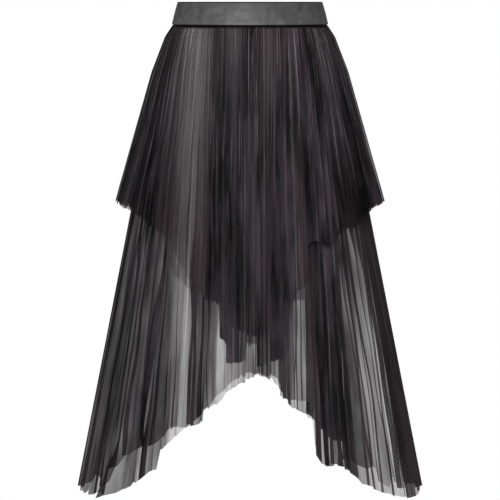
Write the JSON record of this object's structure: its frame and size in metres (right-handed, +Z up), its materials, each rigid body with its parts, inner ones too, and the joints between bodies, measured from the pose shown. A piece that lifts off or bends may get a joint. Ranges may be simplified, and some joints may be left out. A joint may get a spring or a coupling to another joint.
{
  "type": "long pleated net skirt",
  "caption": "Long two-tier skirt of black pleated net with a pointed hem at each side, on a wide plain elastic waistband, hollow and filled out as worn.",
  "frame": {"origin": "middle of the waistband's ring, halfway up the band", "axes": "+Z up out of the waist, -Y to the front, +X to the right of a viewer in front"},
  "size_m": [0.584, 0.3823, 0.8433],
  "materials": {
    "pleated_net": "fine matt net, pressed in knife pleats",
    "elastic_band": "satin woven elastic"
  },
  "bodies": {
    "root": {"waistband": "elastic_band", "overlay_front": "pleated_net", "overlay_back": "pleated_net", "skirt_front": "pleated_net", "skirt_back": "pleated_net"}
  },
  "joints": []
}
